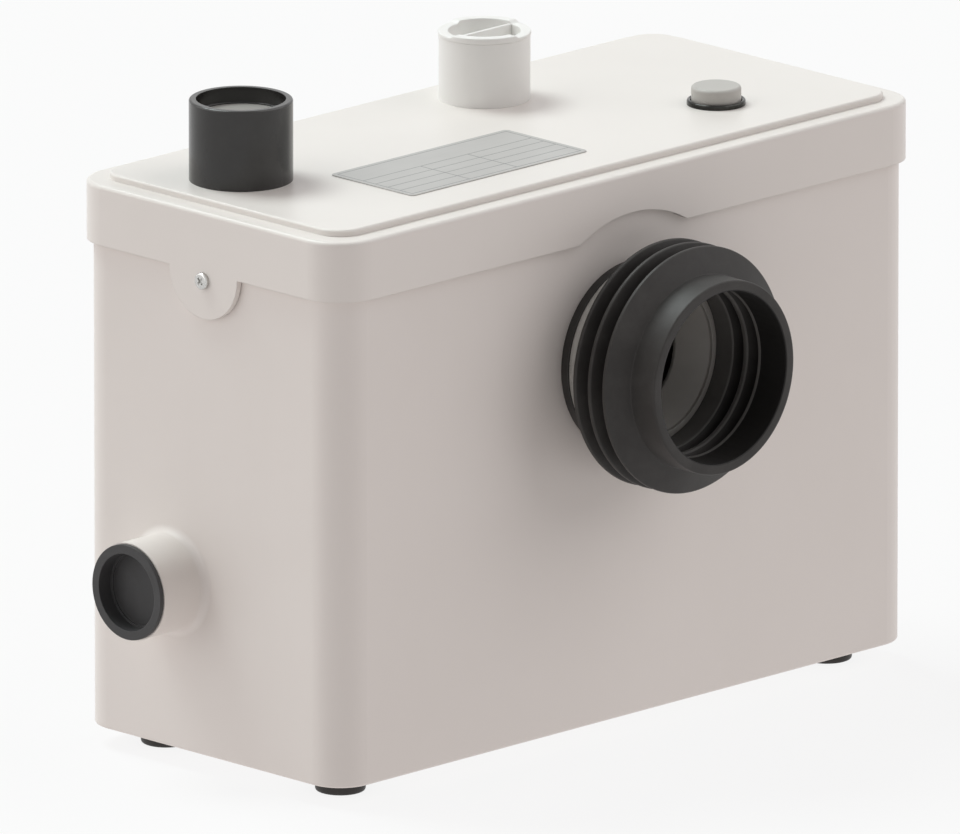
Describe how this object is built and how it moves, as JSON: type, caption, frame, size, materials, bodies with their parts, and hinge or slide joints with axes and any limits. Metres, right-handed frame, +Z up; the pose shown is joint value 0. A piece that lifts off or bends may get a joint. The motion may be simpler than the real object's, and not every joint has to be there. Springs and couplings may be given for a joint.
{
  "type": "macerator toilet pump",
  "caption": "White tank with cutter and pump: takes waste through a finned rubber sleeve and a side inlet, lifts it out through a socket on the lid; with vent cap and button.",
  "frame": {"origin": "on the floor under the middle of the whole outline, seen from above", "axes": "+Z up; +X to the right along the tank, seen from the front; the front with the pan inlet faces -Y"},
  "size_m": [0.4182, 0.2582, 0.3177],
  "materials": {
    "white_plastic": "satin",
    "lid_plastic": "satin",
    "black_rubber": "matte",
    "grey_plastic": "satin",
    "dark_plastic": "satin",
    "bright_ring": "polished",
    "steel": "satin",
    "plate_film": "satin",
    "charcoal": "matte",
    "alloy": "cast",
    "copper_wire": "enamelled",
    "laminated_steel": "matte",
    "circuit_green": "satin"
  },
  "bodies": {
    "tank_body": {"tank": "white_plastic", "pan_collar": "white_plastic", "side_spigot": "white_plastic", "rubber_feet": "black_rubber", "lid": "lid_plastic", "lid_gasket": "black_rubber", "lid_screws": "steel", "pan_sleeve": "black_rubber", "sleeve_clamp": "steel", "clamp_screw": "steel", "splash_ring": "grey_plastic", "discharge_socket": "black_rubber", "side_flap_pin": "steel", "vent_neck": "lid_plastic", "vent_filter": "charcoal", "button_bezel": "bright_ring", "button_housing": "dark_plastic", "button_nut": "dark_plastic", "button_spring": "steel", "button_switch": "dark_plastic", "rating_plate": "plate_film", "cable_gland": "dark_plastic", "gland_nut": "dark_plastic", "motor_can": "steel", "motor_front_plate": "alloy", "motor_rear_cap": "alloy", "motor_bolts": "steel", "motor_cradle": "grey_plastic", "stator_core": "laminated_steel", "stator_windings": "copper_wire", "shaft_bearings": "steel", "shaft_seal": "black_rubber", "cutting_basket": "steel", "pump_casing": "grey_plastic", "pump_cover": "grey_plastic", "pump_screws": "steel", "discharge_pipe": "grey_plastic", "valve_body": "grey_plastic", "valve_flap_pin": "steel", "level_tube": "grey_plastic", "diaphragm": "black_rubber", "diaphragm_cover": "grey_plastic", "micro_switch": "dark_plastic", "control_box": "grey_plastic", "control_box_lid": "grey_plastic", "circuit_board": "circuit_green", "capacitor": "alloy"},
    "rotor": {"shaft": "steel", "rotor_core": "laminated_steel", "cutter_blade": "steel", "impeller": "grey_plastic", "impeller_nut": "steel"},
    "button": {"button_cap": "grey_plastic"},
    "cap_seal": {"cap_seal_ring": "black_rubber"},
    "cap": {"vent_cap": "lid_plastic"},
    "side_plug": {"side_plug": "black_rubber"},
    "discharge_plug": {"discharge_plug": "grey_plastic"},
    "valve_flap": {"valve_flap": "black_rubber"},
    "side_flap": {"side_flap": "black_rubber"},
    "plunger": {"switch_plunger": "grey_plastic"}
  },
  "joints": [
    {"name": "rotor_spin", "type": "hinge", "parent": "tank_body", "child": "rotor", "pos_m": [0.01188, 0.02155, 0.0832], "axis": [1, 0, 0], "continuous": true},
    {"name": "button_press", "type": "slide", "parent": "tank_body", "child": "button", "axis": [0, 0, -1], "range_m": [0, 0.0035], "stiffness_N_per_m": 500, "springref_m": -0.004, "deforming": ["button_spring"]},
    {"name": "cap_lift", "type": "slide", "parent": "tank_body", "child": "cap_seal", "axis": [0, 0, 1], "range_m": [0, 0.03]},
    {"name": "cap_turn", "type": "hinge", "parent": "cap_seal", "child": "cap", "pos_m": [0.05137, 0.07015, 0.3102], "axis": [0, 0, 1], "continuous": true},
    {"name": "side_plug_pull", "type": "slide", "parent": "tank_body", "child": "side_plug", "axis": [-1, 0, 0], "range_m": [0, 0.09]},
    {"name": "discharge_plug_pull", "type": "slide", "parent": "tank_body", "child": "discharge_plug", "axis": [0, 0, 1], "range_m": [0, 0.03]},
    {"name": "valve_flap_swing", "type": "hinge", "parent": "tank_body", "child": "valve_flap", "pos_m": [-0.15623, 0.04435, 0.2043], "axis": [0, -1, 0], "range_deg": [0, 65]},
    {"name": "side_flap_swing", "type": "hinge", "parent": "tank_body", "child": "side_flap", "pos_m": [-0.17158, 0.04705, 0.1168], "axis": [0, -1, 0], "range_deg": [0, 60]},
    {"name": "plunger_lift", "type": "slide", "parent": "tank_body", "child": "plunger", "axis": [0, 0, 1], "range_m": [0, 0.002], "stiffness_N_per_m": 300, "springref_m": -0.002}
  ]
}
